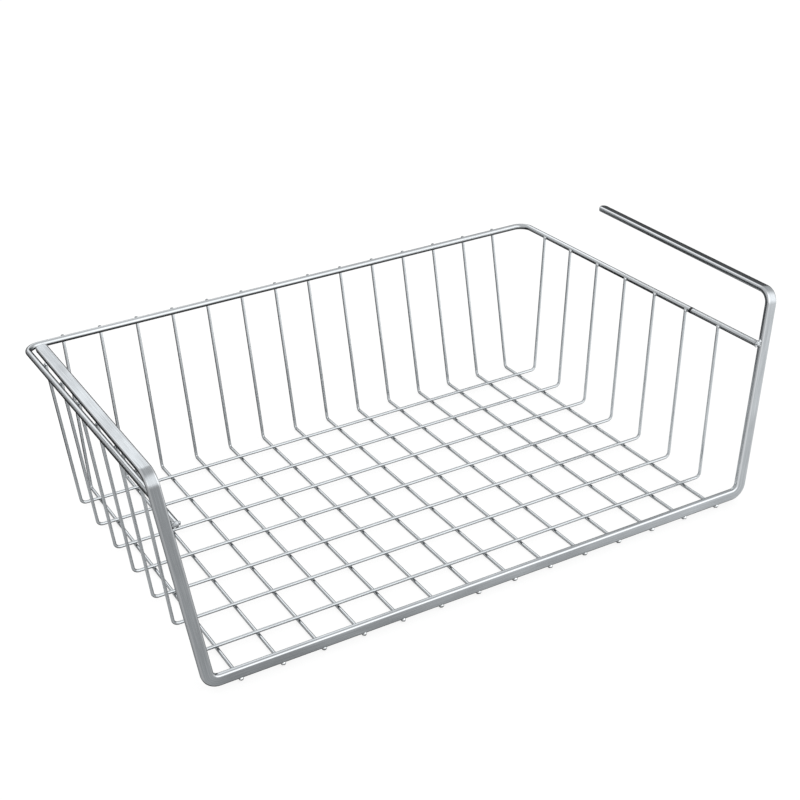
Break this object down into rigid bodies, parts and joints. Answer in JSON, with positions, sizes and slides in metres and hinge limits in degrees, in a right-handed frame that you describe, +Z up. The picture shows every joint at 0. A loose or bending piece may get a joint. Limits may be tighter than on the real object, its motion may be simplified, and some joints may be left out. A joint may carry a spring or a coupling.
{
  "type": "under shelf basket",
  "caption": "Welded wire basket with an open front and two flat arms that hang it under a shelf board.",
  "frame": {"origin": "middle of the basket's plan, at the height of the underside of its lowest wires", "axes": "+X from left to right seen from the open front, +Y from front to back, +Z up"},
  "size_m": [0.4006, 0.2594, 0.1411],
  "materials": {
    "bar_steel": "satin flat bar, drawn grain along its length",
    "rim_steel": "bright satin round wire",
    "wire_steel": "bright satin thin wire"
  },
  "bodies": {
    "root": {"front_frame": "bar_steel", "rim_wire": "rim_steel", "cross_wire_1": "wire_steel", "cross_wire_2": "wire_steel", "cross_wire_3": "wire_steel", "cross_wire_4": "wire_steel", "cross_wire_5": "wire_steel", "cross_wire_6": "wire_steel", "cross_wire_7": "wire_steel", "length_wire_1": "wire_steel", "length_wire_2": "wire_steel", "length_wire_3": "wire_steel", "length_wire_4": "wire_steel", "length_wire_5": "wire_steel", "length_wire_6": "wire_steel", "length_wire_7": "wire_steel", "length_wire_8": "wire_steel", "length_wire_9": "wire_steel", "length_wire_10": "wire_steel", "length_wire_11": "wire_steel", "length_wire_12": "wire_steel", "length_wire_13": "wire_steel", "length_wire_14": "wire_steel"}
  },
  "joints": []
}
